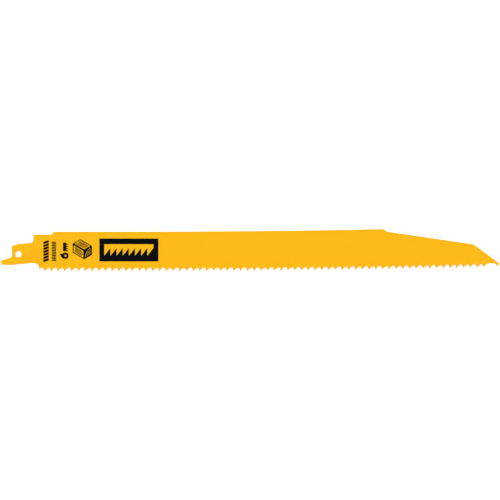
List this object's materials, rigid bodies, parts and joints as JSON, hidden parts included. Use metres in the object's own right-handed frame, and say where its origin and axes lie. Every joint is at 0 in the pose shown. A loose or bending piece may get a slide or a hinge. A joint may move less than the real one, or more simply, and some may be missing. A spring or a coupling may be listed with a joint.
{
  "type": "reciprocating saw blade",
  "caption": "Flat toothed saw blade for a reciprocating saw: canted tang with a round clamp hole and a lug, alternately set teeth on a gently swept edge and a pointed nose.",
  "frame": {"origin": "centre of the round hole in the tang, half way through the blade's thickness", "axes": "+X along the blade from the tang to the nose, +Y across the blade towards its back, +Z out of its side, upwards, and the teeth point to -Y"},
  "size_m": [0.312, 0.0264, 0.0018],
  "materials": {
    "yellow_enamel": "satin yellow enamel on steel",
    "black_ink": "satin black print"
  },
  "bodies": {
    "root": {"blade": "yellow_enamel"}
  },
  "joints": []
}
